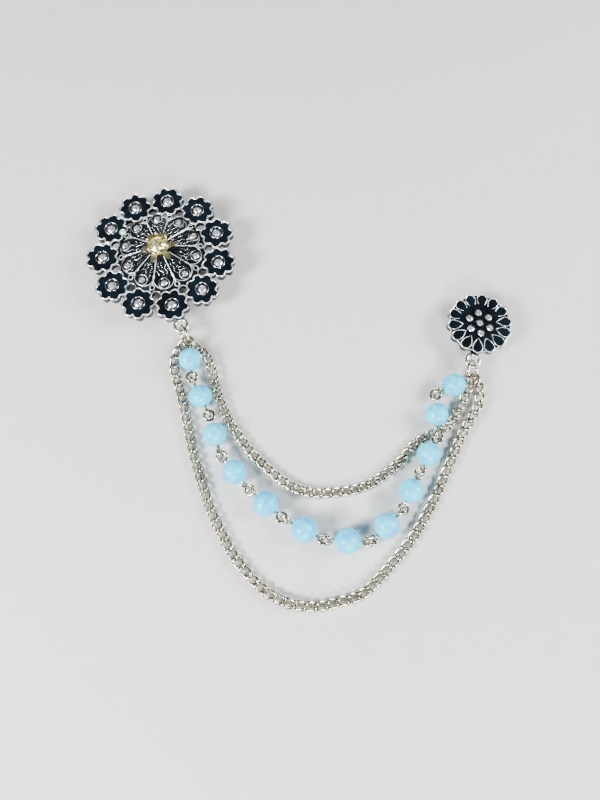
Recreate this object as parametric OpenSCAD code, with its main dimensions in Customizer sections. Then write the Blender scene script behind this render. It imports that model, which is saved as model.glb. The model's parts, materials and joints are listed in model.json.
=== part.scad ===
// Lapel chain: a large and a small enamelled flower brooch, joined by two curb chains and a
// strand of pearls on looped pins. It lies on a surface at z = 0, its front up.

/* [Large brooch] */
// Centre of the brooch to the centre of each floret
floret_ring_r = 15; // [14.8:0.1:15.2]
// Florets round the rim
floret_count = 11; // [10:1:11]
// Round middle of a floret
floret_core_r = 3.3; // [3.1:0.1:3.5]
// Scallops round a floret
floret_lobes = 8; // [8:1:9]
// Scallop size
floret_lobe_r = 1.25; // [1.2:0.05:1.35]
// Centre of a floret to the centre of each scallop
floret_lobe_ring_r = 3.1; // [3:0.05:3.2]
// Thickness of the cast plate
large_plate_t = 1; // [0.8:0.1:1.3]
// Height of the cast lines above the enamel beds
large_relief_h = 0.6; // [0.5:0.05:0.8]
// Width of the cast rim round an enamel bed
rim_w = 0.36; // [0.32:0.02:0.44]
// Height of the back of the plate over the surface
large_back_h = 3.6; // [3.3:0.1:4.2]
// Rise of the middle flower above the florets
dome_rise = 2.6; // [2:0.1:3.2]
// Radius at which the middle flower starts to rise
dome_foot_r = 11.2; // [11:0.1:11.4]
// Radius of the flat top of the middle flower
dome_top_r = 2.6; // [2.4:0.1:2.8]
// Radius of the round holes between the florets
pierce_r = 1.15; // [0.9:0.05:1.2]
// Centre of the brooch to the centre of each hole
pierce_ring_r = 12.2; // [12.1:0.05:12.3]
// Radius of the small holes at the ends of the spokes
pinhole_r = 0.5; // [0.4:0.05:0.55]
// Centre of the brooch to the centre of each small hole
pinhole_ring_r = 10.2; // [10.1:0.1:10.3]
// Petals of the middle flower
petal_count = 10; // [9:1:10]
// Centre of the brooch to the centre of a petal's round tip
petal_tip_ring_r = 7.9; // [7.7:0.1:8]
// Radius of a petal's round tip
petal_tip_r = 2.75; // [2.6:0.05:2.8]
// Width of the spokes between the petals
spoke_w = 0.4; // [0.3:0.05:0.5]
// Width of the wavy veins on the petals
vein_w = 0.24; // [0.2:0.02:0.3]
// Sideways swing of a vein
vein_swing = 0.16; // [0.1:0.02:0.2]

/* [Small brooch] */
// Radius of the scalloped plate between its scallops
small_disc_r = 7.4; // [7.3:0.1:7.6]
// Petals round the rim
small_petals = 14; // [13:1:15]
// Centre of the brooch to the centre of each petal's round end
small_petal_ring_r = 6.85; // [6.7:0.05:7]
// Radius of a petal's round end, over its rim
small_petal_r = 1.25; // [1.2:0.05:1.3]
// Radius of the enamelled middle disc
small_middle_r = 3.9; // [3.9:0.05:4]
// Thickness of the cast plate
small_plate_t = 0.9; // [0.8:0.1:1.2]
// Height of the cast lines above the enamel beds
small_relief_h = 0.5; // [0.45:0.05:0.7]
// Height of the back of the plate over the surface
small_back_h = 2.8; // [2.6:0.1:3.2]

/* [Stones] */
// Girdle diameter of the floret stones
floret_stone_d = 2.4; // [2.2:0.1:2.5]
// Girdle diameter of the petal stones
petal_stone_d = 1.9; // [1.7:0.05:1.95]
// Centre of the brooch to the centre of each petal stone
petal_stone_ring_r = 9.2; // [9.1:0.05:9.3]
// Girdle diameter of the raised middle stone
centre_stone_d = 4.6; // [4.2:0.1:4.8]
// Diameter of the pale green cabochon
cabochon_d = 1.9; // [1.7:0.1:2]
// Girdle diameter of the small brooch's stones
small_stone_d = 1.9; // [1.7:0.05:1.95]
// Centre of the small brooch to the centre of each outer stone
small_stone_ring_r = 2.74; // [2.7:0.02:2.8]
// Wall of the cups that hold the stones
cup_wall = 0.35; // [0.3:0.05:0.4]
// Free space between a stone's girdle and its cup
cup_gap = 0.1; // [0.06:0.02:0.14]

/* [Chains] */
// Outside length of a link of the outer chain
outer_link_l = 4.1; // [4:0.05:4.2]
// Outside length of a link of the inner chain
inner_link_l = 3.9; // [3.85:0.05:4]
// Outside width of a link
link_w = 2.7; // [2.65:0.05:2.8]
// Thickness of the link wire
link_wire = 0.7; // [0.66:0.01:0.71]
// Free space where two links cross
link_gap = 0.21; // [0.2:0.01:0.22]

/* [Pearl strand] */
// Diameter of the pearls at the ends of the strand
end_pearl_d = 5.5; // [5.4:0.05:5.6]
// Diameter of the pearls in the middle of the strand
middle_pearl_d = 5.95; // [5.8:0.05:6]
// Thickness of the looped pins
pin_wire = 0.62; // [0.58:0.02:0.64]
// Outside diameter of a pin's end loop
loop_d = 3; // [2.95:0.05:3.05]
// Free space round a pin in its pearl
drill_gap = 0.1; // [0.06:0.02:0.14]

/* [Joining rings] */
// Outside diameter of the joining rings
ring_d = 5.6; // [5.4:0.1:5.8]
// Thickness of the ring wire
ring_wire = 0.8; // [0.7:0.05:0.85]
// Thickness of the cast loop on each brooch
bail_wire = 1; // [0.9:0.05:1.05]
// Inside diameter of the cast loop on each brooch
bail_hole_d = 2.1; // [2:0.05:2.3]

/* [Pin backs] */
// Length of the large pin between hinge and catch
large_pin_l = 18; // [14:1:18]
// Length of the small pin between hinge and catch
small_pin_l = 9; // [8:0.5:10]
// Thickness of the pin stems
stem_d = 0.8; // [0.7:0.05:0.9]
// Outside diameter of the hinge and the catch
knuckle_d = 2.2; // [2:0.1:2.4]
// Thickness of the bar that carries them
bar_t = 0.7; // [0.6:0.1:0.8]

/* [Hidden] */
fit_gap = 0.05;
lying_gap = 0.01;
$fn = 64;
sunk = 0.3;

// Places of the brooches and their loops as they lie: x, y
lay_shift = [0.93, -3.73];
large_at = [-35.5, 37.8];
small_at = [44.7, 18.7];
large_bail_at = [-29.5, 18];
small_bail_at = [42.4, 9.1];
floret_turn = 87.5;
spoke_turn = 9.3;
small_stone_turn = 92.5;
small_petal_turn = -73.7;
cabochon_turn = 150.6;
cabochon_ring_r = 11.8;

// Joints between the pearls as they lie: x, y, lift, shift of both loops along the strand,
// tilt of the loop before and of the loop after
strand_joints = [
  [-26.4, 4.6, 0, 0, 0, 88],
  [-21.9, -4.3, 0, 0, 86, 4],
  [-18.7, -14.4, 0, 0, 72, -16],
  [-12, -22.3, 0, 0, 64, -32],
  [-3.8, -29.1, 0, 0, 24, -64],
  [5.7, -33.9, 0, 0, 32, -52],
  [16, -34.2, 0, 0, -40, 44],
  [23.6, -27.1, 0, 0, 72, -20],
  [28, -18.3, 0.1, 0, -34, 52],
  [32.7, -9.9, 0.5, 0, 30, -56],
  [32.8, 0.6, 0.3, 0.3, 24, -60]
];
pearl_count = len(strand_joints) + 1;
// Distance between the middles of two joined loops
loop_step = 0.9;
outer_route = [
  [-30.2, 13.3], [-31.3, 8.4], [-29.5, 2.4], [-27.5, -4.9], [-25.8, -12], [-23, -21],
  [-20.5, -27.5], [-16, -36], [-12.5, -40.5], [-9, -44], [-5, -46.5], [0, -48], [5, -48],
  [9.5, -47], [13.5, -45.8], [16.5, -43.5], [20, -40], [26, -33], [31, -25], [35, -17.1],
  [38.6, -9.6], [41.9, -4.3], [43.6, -1], [44, 3.3]
];
inner_route = [
  [-25.9, 13], [-23.1, 10.6], [-21.5, 6.5], [-20.6, 2.5], [-17.2, -5.6], [-12, -13],
  [-8.5, -16.5], [-5, -19.5], [-1, -22], [4, -23], [11, -22.5], [15.5, -21.3], [19.5, -19],
  [23.5, -15.9], [25.9, -13.2], [28, -10.9], [31.2, -9.2], [33.6, -8.1], [35.9, -6.7],
  [37.3, -4.8], [39, -1.9], [39.9, -0.3]
];

function unit(v) = v / norm(v);

// Columns of a frame: its x, y and z directions and its origin
function frame_matrix(x, y, z, p) = [
  [x[0], y[0], z[0], p[0]],
  [x[1], y[1], z[1], p[1]],
  [x[2], y[2], z[2], p[2]],
  [0, 0, 0, 1]
];

// Heights of the large brooch
large_floor = large_back_h + large_plate_t;
large_top = large_floor + large_relief_h;
function dome_lift(r) =
  dome_rise * min(1, max(0, (dome_foot_r - r) / (dome_foot_r - dome_top_r)));
large_reach = floret_ring_r + floret_lobe_ring_r + floret_lobe_r;
cup_h = large_relief_h + 0.15;
seat_h = 0.3;
pavilion_share = 0.2;
crown_share = 0.15;
girdle_share = 0.05;
floret_cup_r = floret_stone_d / 2 + cup_gap + cup_wall;
petal_cup_r = petal_stone_d / 2 + fit_gap + 0.25;
cabochon_cup_r = cabochon_d / 2 + fit_gap + 0.2;
small_cup_r = small_stone_d / 2 + fit_gap + 0.2;
enamel_t = 0.35;

// Heights of the small brooch
small_floor = small_back_h + small_plate_t;
small_top = small_floor + small_relief_h;
small_reach = small_petal_ring_r + small_petal_r;

// Loops, rings and pins
neck_w = 1.8;
neck_step = 0.1;
neck_sunk = 0.15;
bail_lift = 0.06;
bail_r = (bail_hole_d + bail_wire) / 2;
ring_r = (ring_d - ring_wire) / 2;
loop_r = (loop_d - pin_wire) / 2;
large_hole = concat(large_bail_at, [large_back_h + bail_wire / 2]);
small_hole = concat(small_bail_at, [small_back_h + bail_wire / 2]);

// A joining ring hangs from the point hole: heading and dip aim its low side, turn rolls it
function ring_out(heading, dip) = [cos(heading) * cos(dip), sin(heading) * cos(dip), -sin(dip)];
function ring_side(heading, dip, turn) =
  let (level = [-sin(heading), cos(heading), 0])
  let (rise = cross(level, ring_out(heading, dip)))
  level * cos(turn) + rise * sin(turn);
large_out = ring_out(-73, 27);
large_side = ring_side(-73, 27, 112);
large_mid = large_hole + large_out * ring_r;
small_out = ring_out(-94, 7);
small_side = ring_side(-94, 7, 52);
small_mid = small_hole + small_out * ring_r;
function on_ring(mid, out, side, angle) = mid + (out * cos(angle) + side * sin(angle)) * ring_r;
function ring_run(out, side, angle) = side * cos(angle) - out * sin(angle);

// Smooth curve through the points of a route
function curve_point(a, b, c, d, t) =
  (2 * b + (c - a) * t + (2 * a - 5 * b + 4 * c - d) * t * t
    + (3 * b - a - 3 * c + d) * t * t * t) / 2;
route_steps = 6;
function smooth_route(pts) = let (last = len(pts) - 1) [
  for (i = [0:last - 1]) for (k = [0:route_steps - 1])
    curve_point(pts[max(i - 1, 0)], pts[i], pts[i + 1], pts[min(i + 2, last)], k / route_steps),
  pts[last]
];
function run_table(path) = [
  for (i = 0, s = 0; i < len(path); i = i + 1,
    s = i < len(path) ? s + norm(path[i] - path[i - 1]) : s) [s, path[i]]
];
function along(table, axis, s) = lookup(s, [for (row = table) [row[0], row[1][axis]]]);

// Size and shape of a curb link
link_half_w = (link_w - link_wire) / 2;
function link_half_l(link_l) = (link_l - link_wire) / 2;
function link_pitch(link_l) = 2 * link_half_l(link_l) - link_wire - link_gap;
// Height of the twist: neighbours clear each other by a little more than where they cross
twist_spare = 1.2;
function link_twist(link_l) =
  let (t = acos(link_pitch(link_l) / (2 * link_half_l(link_l))))
  twist_spare * (link_wire + link_gap) / (2 * sin(2 * t));
link_stations = 12;
link_sides = 5;

module curb_link(link_l) {
  half_l = link_half_l(link_l);
  twist = link_twist(link_l);
  points = [
    for (i = [0:link_stations - 1])
      let (t = i * 360 / link_stations)
      let (mid = [half_l * cos(t), link_half_w * sin(t), twist * sin(2 * t)])
      let (run = unit([-half_l * sin(t), link_half_w * cos(t), 2 * twist * cos(2 * t)]))
      let (side = unit(cross(run, [0, 0, 1])))
      let (up = cross(side, run))
      for (k = [0:link_sides - 1])
        let (q = 90 + k * 360 / link_sides)
        mid + (side * cos(q) + up * sin(q)) * link_wire / 2
  ];
  faces = [
    for (i = [0:link_stations - 1]) for (k = [0:link_sides - 1])
      let (a = i * link_sides, b = (i + 1) % link_stations * link_sides, n = (k + 1) % link_sides)
      for (face = [[a + k, b + n, b + k], [a + k, a + n, b + n]]) face
  ];
  polyhedron(points = points, faces = faces);
}

// Height of a link's middle over the surface when it is rolled by the angle
function lying_height(link_l, roll) =
  link_half_w * abs(sin(roll)) + link_twist(link_l) * abs(cos(roll)) + link_wire / 2 + lying_gap;

// Links over which the roll at a joining ring dies away
roll_links = 10;

// Curb chain from one joining ring to the other. A hold is [point on the ring, ring direction, roll].
module curb_chain(link_l, route, hold_a, hold_b) {
  lie = lying_height(link_l, 0);
  flat_route = [for (p = route) [p[0], p[1], lie]];
  after_a = unit(flat_route[0] - hold_a[0]);
  before_b = unit(hold_b[0] - flat_route[len(route) - 1]);
  hook = function(run, hold)
    link_half_l(link_l) - ((link_wire + ring_wire) / 2 + link_gap) / norm(cross(run, hold[1]));
  ends = [
    hold_a[0] + after_a * hook(after_a, hold_a),
    hold_b[0] - before_b * hook(before_b, hold_b)
  ];
  table = run_table(smooth_route(concat([ends[0]], flat_route, [ends[1]])));
  run = table[len(table) - 1][0];
  last = ceil(run / link_pitch(link_l));
  rolls = [
    for (i = [0:last])
      hold_a[2] * max(0, 1 - i / roll_links) + hold_b[2] * max(0, 1 - (last - i) / roll_links)
  ];
  places = [
    for (i = [0:last])
      let (s = i * run / last)
      [along(table, 0, s), along(table, 1, s), max(along(table, 2, s), lying_height(link_l, rolls[i]))]
  ];
  for (i = [0:last]) {
    ahead = i == 0 ? after_a : i == last ? before_b : unit(places[i + 1] - places[i - 1]);
    level = unit(cross([0, 0, 1], ahead));
    upright = cross(ahead, level);
    across = level * cos(rolls[i]) + upright * sin(rolls[i]);
    multmatrix(frame_matrix(ahead, across, cross(ahead, across), places[i])) curb_link(link_l);
  }
}

module laid() {
  translate(lay_shift) children();
}

module bent_wire_ring(mid_r, wire_d) {
  rotate_extrude() translate([mid_r, 0]) circle(d = wire_d);
}

// Brilliant with an eight-sided table, resting on the plane z = 0 at its girdle
module cut_stone(d) {
  ring = function(r, z, turn) [for (k = [0:7]) [r * cos(45 * k + turn), r * sin(45 * k + turn), z]];
  points = concat(
    [[0, 0, -pavilion_share * d]],
    ring(d / 2, 0, 0),
    ring(d / 2, girdle_share * d, 0),
    ring(0.55 * d / 2, (girdle_share + crown_share) * d, 22.5)
  );
  faces = [
    for (k = [0:7])
      let (n = (k + 1) % 8)
      for (face = [
        [0, 1 + k, 1 + n],
        [1 + k, 9 + k, 9 + n], [1 + k, 9 + n, 1 + n],
        [9 + k, 17 + k, 9 + n], [17 + k, 17 + n, 9 + n]
      ]) face,
    [for (k = [7:-1:0]) 17 + k]
  ];
  polyhedron(points = points, faces = faces);
}

// Large brooch, in its own place
module at_large() {
  laid() translate(large_at) children();
}

module at_floret(i) {
  rotate(floret_turn - i * 360 / floret_count) translate([floret_ring_r, 0]) children();
}

module at_petal(i) {
  rotate(spoke_turn + (i + 0.5) * 360 / petal_count) children();
}

module floret_shape(core_r, lobe_r) {
  circle(r = core_r);
  for (k = [0:floret_lobes - 1])
    rotate((k + 0.5) * 360 / floret_lobes) translate([floret_lobe_ring_r, 0]) circle(r = lobe_r);
}

module large_outline() {
  circle(r = dome_foot_r);
  for (i = [0:floret_count - 1]) {
    at_floret(i) floret_shape(floret_core_r, floret_lobe_r);
    rotate(floret_turn - (i + 0.5) * 360 / floret_count)
      translate([pierce_ring_r, 0]) circle(r = pierce_r + rim_w);
  }
}

module at_cabochon() {
  rotate(cabochon_turn) translate([cabochon_ring_r, 0]) children();
}

// Bed for the enamel of a floret, drawn in by the free space c
module floret_bed(c) {
  difference() {
    floret_shape(floret_core_r - rim_w - c, floret_lobe_r - rim_w - c);
    circle(r = floret_cup_r + c);
  }
}

module floret_beds(c) {
  difference() {
    for (i = [0:floret_count - 1]) at_floret(i) floret_bed(c);
    at_cabochon() circle(r = cabochon_cup_r + 0.05 + c);
  }
}

// Wavy vein along a petal, drawn out by the free space c
module vein(side, c) {
  bends = 5;
  from_r = bed_start_r - 0.4;
  to_r = petal_tip_ring_r + c;
  half = vein_w / 2 + c;
  mids = [
    for (k = [0:bends])
      [from_r + (to_r - from_r) * k / bends, vein_swing * (k % 2 == 0 ? 1 : -1)]
  ];
  rotate(side * 90 / petal_count * 0.65) polygon(concat(
    [for (m = mids) m + [0, half]],
    [for (k = [bends:-1:0]) mids[k] - [0, half]]
  ));
}
bed_start_r = 3.2;

module petal_bed(c) {
  half_turn = 180 / petal_count;
  tip = (spoke_w / 2 + c) / sin(half_turn);
  far = dome_foot_r;
  difference() {
    intersection() {
      polygon([
        [tip, 0], [far, (far - tip) * tan(half_turn)], [far, -(far - tip) * tan(half_turn)]
      ]);
      union() {
        circle(r = petal_tip_ring_r - c);
        translate([petal_tip_ring_r, 0]) circle(r = petal_tip_r - c);
      }
    }
    circle(r = bed_start_r + c);
    translate([petal_stone_ring_r, 0]) circle(r = petal_cup_r + 0.05 + c);
    for (side = [-1, 1]) vein(side, c);
  }
}

// Layer of the large brooch between two heights over its back, risen in the middle
module large_layer(low, high) {
  translate([0, 0, large_back_h]) rotate_extrude() polygon([
    [0, low + dome_rise], [dome_top_r, low + dome_rise], [dome_foot_r, low],
    [large_reach + 1, low], [large_reach + 1, high], [dome_foot_r, high],
    [dome_top_r, high + dome_rise], [0, high + dome_rise]
  ]);
}

// Loop that the joining ring hangs in, on a neck from the brooch's rim
module bail(brooch_at, bail_at, rim_r, back_h, neck_t) {
  offset_to = bail_at - brooch_at;
  turn = atan2(offset_to[1], offset_to[0]);
  near_r = norm(offset_to) - bail_r + neck_sunk;
  translate([0, 0, back_h]) rotate(turn) {
    translate([norm(offset_to), 0, bail_wire / 2 + bail_lift]) bent_wire_ring(bail_r, bail_wire);
    translate([rim_r, -neck_w / 2, neck_step])
      cube([near_r - rim_r, neck_w, neck_t - 2 * neck_step]);
  }
}

// Cup of a stone and the pit that the stone sits in; its floor is at z = 0
module cup_post(r, h) {
  translate([0, 0, -sunk]) cylinder(r = r, h = h + sunk);
}

module cup_pit(stone_d, gap, seat) {
  translate([0, 0, seat]) cylinder(d = stone_d + 2 * gap, h = 4);
  translate([0, 0, seat - pavilion_share * stone_d - 0.1])
    cylinder(d = stone_d * 0.95, h = pavilion_share * stone_d + 0.2);
}
petal_floor = large_floor + dome_lift(petal_stone_ring_r);
petal_cup_h = 1.05;
petal_seat_h = 0.62;

module large_casting() color([0.8, 0.8, 0.76]) at_large() difference() {
  union() {
    intersection() {
      translate([0, 0, large_back_h - 1]) linear_extrude(large_top + dome_rise) large_outline();
      large_layer(0, large_plate_t + large_relief_h);
    }
    bail(large_at, large_bail_at, floret_ring_r + floret_core_r - 0.5, large_back_h, large_plate_t);
    for (i = [0:floret_count - 1])
      at_floret(i) translate([0, 0, large_floor]) cup_post(floret_cup_r - 0.05, cup_h);
    for (i = [0:petal_count - 1])
      at_petal(i) translate([petal_stone_ring_r, 0, petal_floor]) cup_post(petal_cup_r, petal_cup_h);
    at_cabochon() translate([0, 0, large_floor]) cup_post(cabochon_cup_r, cup_h);
  }
  translate([0, 0, large_floor]) linear_extrude(2) floret_beds(0);
  intersection() {
    translate([0, 0, large_back_h]) linear_extrude(large_top + dome_rise)
      for (i = [0:petal_count - 1]) at_petal(i) petal_bed(0);
    large_layer(large_plate_t, large_plate_t + large_relief_h + 2);
  }
  for (i = [0:floret_count - 1]) {
    at_floret(i) translate([0, 0, large_floor]) cup_pit(floret_stone_d, cup_gap, seat_h);
    rotate(floret_turn - (i + 0.5) * 360 / floret_count)
      translate([pierce_ring_r, 0, 0]) cylinder(r = pierce_r, h = 20);
  }
  for (i = [0:petal_count - 1]) {
    at_petal(i) translate([petal_stone_ring_r, 0, petal_floor])
      cup_pit(petal_stone_d, fit_gap, petal_seat_h);
    rotate(spoke_turn + i * 360 / petal_count)
      translate([pinhole_ring_r, 0, 0]) cylinder(r = pinhole_r, h = 20);
  }
  at_cabochon() translate([0, 0, large_floor + seat_h])
    cylinder(d = cabochon_d + 2 * fit_gap, h = 4);
}

module floret_enamel() color([0.03, 0.12, 0.17]) at_large()
  translate([0, 0, large_floor + fit_gap]) linear_extrude(enamel_t) floret_beds(fit_gap);

module petal_enamel() color([0.04, 0.13, 0.16]) at_large() intersection() {
  translate([0, 0, large_back_h]) linear_extrude(large_top + dome_rise)
    for (i = [0:petal_count - 1]) at_petal(i) petal_bed(fit_gap);
  large_layer(large_plate_t + fit_gap, large_plate_t + fit_gap + enamel_t);
}

module floret_stone(i) color([0.9, 0.93, 0.95]) at_large()
  at_floret(i - 1) translate([0, 0, large_floor + seat_h + fit_gap]) cut_stone(floret_stone_d);

module petal_stones() color([0.9, 0.93, 0.95]) at_large()
  for (i = [0:petal_count - 1])
    at_petal(i) translate([petal_stone_ring_r, 0, petal_floor + petal_seat_h + fit_gap])
      cut_stone(petal_stone_d);

module cabochon() color([0.7, 0.9, 0.8]) at_large() at_cabochon()
  translate([0, 0, large_floor + seat_h + fit_gap]) difference() {
    sphere(d = cabochon_d);
    translate([0, 0, -2]) cube(4, center = true);
  }

// Claw cup in the middle of the large brooch
setting_r = centre_stone_d / 2 + cup_gap + cup_wall;
setting_foot_r = 2.2;
setting_z = large_top + dome_rise + fit_gap;
setting_seat_h = 1.2;
setting_h = 1.7;
claw_count = 6;
claw_r = 0.28;
claw_tip_r = 0.34;
claw_h = 0.9;

module sepal() {
  half_l = 1.6;
  half_w = 0.75;
  bow = (half_l * half_l + half_w * half_w) / (2 * half_w);
  intersection() {
    translate([0, bow - half_w]) circle(r = bow);
    translate([0, half_w - bow]) circle(r = bow);
  }
}

module centre_setting() color([0.85, 0.78, 0.5]) at_large() translate([0, 0, setting_z]) {
  rotate_extrude() polygon([
    [0, 0], [setting_foot_r, 0], [setting_foot_r, 0.3], [setting_foot_r - 0.4, 0.6],
    [setting_r, setting_seat_h], [setting_r, setting_h],
    [centre_stone_d / 2 + cup_gap, setting_h], [centre_stone_d / 2 + cup_gap, setting_seat_h],
    [0, 0.2]
  ]);
  for (i = [0:claw_count - 1]) rotate(i * 360 / claw_count + 12) {
    translate([setting_foot_r - 0.4, 0, 0.12]) rotate([0, 8, 0])
      translate([1.3, 0, 0]) linear_extrude(0.35) sepal();
    rotate(180 / claw_count) translate([setting_r - 0.05, 0, setting_seat_h - 0.1]) {
      cylinder(r = claw_r, h = claw_h);
      translate([0, 0, claw_h]) sphere(r = claw_tip_r);
    }
  }
}

module centre_stone() color([0.93, 0.9, 0.72]) at_large()
  translate([0, 0, setting_z + setting_seat_h + fit_gap]) cut_stone(centre_stone_d);

// Bar pin back: bar, hinge knuckle, stem and open catch
module pin_back(pin_l, bar_l, back_h) {
  stem_z = knuckle_d / 2;
  bar_z = back_h - fit_gap - bar_t;
  color([0.72, 0.72, 0.7]) difference() {
    union() {
      translate([-bar_l / 2, -1.4, bar_z]) cube([bar_l, 2.8, bar_t]);
      translate([-pin_l / 2 - 0.7, -1, stem_z]) cube([1.4, 2, bar_z + bar_t / 2 - stem_z]);
      translate([-pin_l / 2, 1.2, stem_z]) rotate([90, 0, 0]) cylinder(d = knuckle_d, h = 2.4);
      translate([pin_l / 2 - 0.8, -0.5, stem_z + knuckle_d / 4])
        cube([1.6, 1, bar_z + bar_t / 2 - stem_z - knuckle_d / 4]);
      translate([pin_l / 2 - 0.8, 0, stem_z]) rotate([0, 90, 0]) cylinder(d = knuckle_d, h = 1.6);
    }
    translate([pin_l / 2 - 2, 0, stem_z]) rotate([0, 90, 0]) cylinder(d = stem_d + 0.5, h = 4);
    translate([pin_l / 2 - 2, 0, stem_z - stem_d / 2 - 0.1]) cube([4, knuckle_d, stem_d + 0.2]);
  }
  color([0.72, 0.72, 0.7]) translate([-pin_l / 2, 0, stem_z]) rotate([0, 90, 0]) {
    cylinder(d = stem_d, h = pin_l + 1);
    translate([0, 0, pin_l + 1]) cylinder(d1 = stem_d, d2 = 0.2, h = 1);
  }
}

// The large bar reaches past the hollow of the middle flower to the flat rim
bar_hold = 1.4;
small_bar_over = 2.4;
module large_pin_back() at_large() rotate(30)
  pin_back(large_pin_l, 2 * (dome_foot_r + bar_hold), large_back_h);
module small_pin_back() at_small() rotate(12)
  pin_back(small_pin_l, small_pin_l + small_bar_over, small_back_h);

// Small brooch
module at_small() {
  laid() translate(small_at) children();
}

module at_small_petal(i) {
  rotate(small_petal_turn + i * 360 / small_petals) children();
}

// Seven stones: one in the middle and a ring of six
module at_small_stone(i) {
  if (i == 1) children();
  else rotate(small_stone_turn - (i - 2) * 60) translate([small_stone_ring_r, 0]) children();
}

small_rim_w = 0.26;
petal_base_r = small_middle_r + 0.5;

// Teardrop bed, drawn in on every side by the free space c
module small_petal_bed(c) {
  bed_r = small_petal_r - small_rim_w - c;
  base_half_w = 0.6 - c;
  round_end = 100;
  polygon(concat(
    [for (turn = [-round_end:10:round_end])
      [small_petal_ring_r - 0.1 + bed_r * cos(turn), bed_r * sin(turn)]],
    [[petal_base_r + c, base_half_w], [petal_base_r + c, -base_half_w]]
  ));
}

module small_beds(c) {
  for (i = [0:small_petals - 1]) at_small_petal(i) small_petal_bed(c);
  difference() {
    circle(r = small_middle_r - c);
    for (i = [1:7]) at_small_stone(i) circle(r = small_cup_r + c);
  }
}

module small_casting() color([0.8, 0.8, 0.76]) at_small() difference() {
  union() {
    translate([0, 0, small_back_h]) linear_extrude(small_plate_t + small_relief_h) {
      circle(r = small_disc_r);
      for (i = [0:small_petals - 1])
        at_small_petal(i) translate([small_petal_ring_r, 0]) circle(r = small_petal_r);
    }
    bail(small_at, small_bail_at, small_disc_r - 0.4, small_back_h, small_plate_t);
    for (i = [1:7])
      at_small_stone(i) translate([0, 0, small_floor]) cup_post(small_cup_r - 0.05, cup_h);
  }
  translate([0, 0, small_floor]) linear_extrude(2) small_beds(0);
  for (i = [1:7])
    at_small_stone(i) translate([0, 0, small_floor]) cup_pit(small_stone_d, fit_gap, seat_h);
  for (i = [0:small_petals - 1])
    at_small_petal(i + 0.5) translate([petal_base_r + 0.6, -0.12, small_floor + 0.1])
      cube([small_reach - petal_base_r, 0.24, 2]);
}

module small_enamel() color([0.03, 0.1, 0.16]) at_small()
  translate([0, 0, small_floor + fit_gap]) linear_extrude(enamel_t) small_beds(fit_gap);

module small_stone(i) color([0.9, 0.93, 0.95]) at_small()
  at_small_stone(i) translate([0, 0, small_floor + seat_h + fit_gap]) cut_stone(small_stone_d);

// Joining rings and chains
module joining_ring(mid, out, side) {
  color([0.82, 0.81, 0.76]) laid()
    multmatrix(frame_matrix(out, side, cross(out, side), mid)) bent_wire_ring(ring_r, ring_wire);
}

module large_ring() joining_ring(large_mid, large_out, large_side);
module small_ring() joining_ring(small_mid, small_out, small_side);

function large_hold(angle, roll = 0) =
  [on_ring(large_mid, large_out, large_side, angle), ring_run(large_out, large_side, angle), roll];
function small_hold(angle, roll = 0) =
  [on_ring(small_mid, small_out, small_side, angle), ring_run(small_out, small_side, angle), roll];

module outer_chain() color([0.84, 0.83, 0.76]) laid()
  curb_chain(outer_link_l, outer_route, large_hold(31, -9), small_hold(43, -69));
module inner_chain() color([0.84, 0.83, 0.76]) laid()
  curb_chain(inner_link_l, inner_route, large_hold(-12, 34), small_hold(7, -51));

// Pearls and their looped pins: each pin runs straight from joint to joint
shank_d = pin_wire - 0.06;
function pearl_d(i) =
  end_pearl_d + (middle_pearl_d - end_pearl_d) * pow(sin(180 * i / (pearl_count - 1)), 2);
strand_holds = [large_hold(-45), small_hold(-36)];
function joint_point(j) =
  j < 0 ? strand_holds[0][0]
  : j == len(strand_joints) ? strand_holds[1][0]
  : let (row = strand_joints[j])
    [row[0], row[1], (pearl_d(j) + pearl_d(j + 1)) / 4 + row[2] + lying_gap];
function pearl_run(i) = unit(joint_point(i) - joint_point(i - 1));
function loop_before(i) =
  joint_point(i - 1) + (i == 0 ? 0 : loop_step / 2 + strand_joints[i - 1][3]) * pearl_run(i);
function loop_after(i) =
  joint_point(i) - (i == pearl_count - 1 ? 0 : loop_step / 2 - strand_joints[i][3]) * pearl_run(i);
function pearl_at(i) = (loop_before(i) + loop_after(i)) / 2;
function pin_reach(i) = norm(loop_after(i) - loop_before(i)) / 2;

module at_pearl(i, facing) {
  run = pearl_run(i);
  flat = facing - run * (facing * run);
  up = unit(flat);
  laid() multmatrix(frame_matrix(run, cross(up, run), up, pearl_at(i))) children();
}

// Direction that a loop's flat side faces when it is tilted from lying flat
function loop_facing(i, tilt) =
  let (level = unit(cross([0, 0, 1], pearl_run(i))))
  cross(pearl_run(i), level) * cos(tilt) + level * sin(tilt);

module pearl_pins() color([0.84, 0.83, 0.76]) for (i = [0:pearl_count - 1]) {
  reach = pin_reach(i);
  facing_a = i == 0 ? strand_holds[0][1] : loop_facing(i, strand_joints[i - 1][5]);
  facing_b = i == pearl_count - 1 ? strand_holds[1][1] : loop_facing(i, strand_joints[i][4]);
  at_pearl(i, [0, 0, 1]) rotate([0, 90, 0])
    cylinder(d = shank_d, h = 2 * (reach - loop_r), center = true);
  at_pearl(i, facing_a) translate([-reach, 0, 0]) bent_wire_ring(loop_r, pin_wire);
  at_pearl(i, facing_b) translate([reach, 0, 0]) bent_wire_ring(loop_r, pin_wire);
}

module pearl(i) color([0.68, 0.89, 0.97]) at_pearl(i - 1, [0, 0, 1])
  rotate([0, 90, 0]) rotate_extrude() intersection() {
    circle(d = pearl_d(i - 1));
    translate([shank_d / 2 + drill_gap, -middle_pearl_d]) square(2 * middle_pearl_d);
  }

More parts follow.
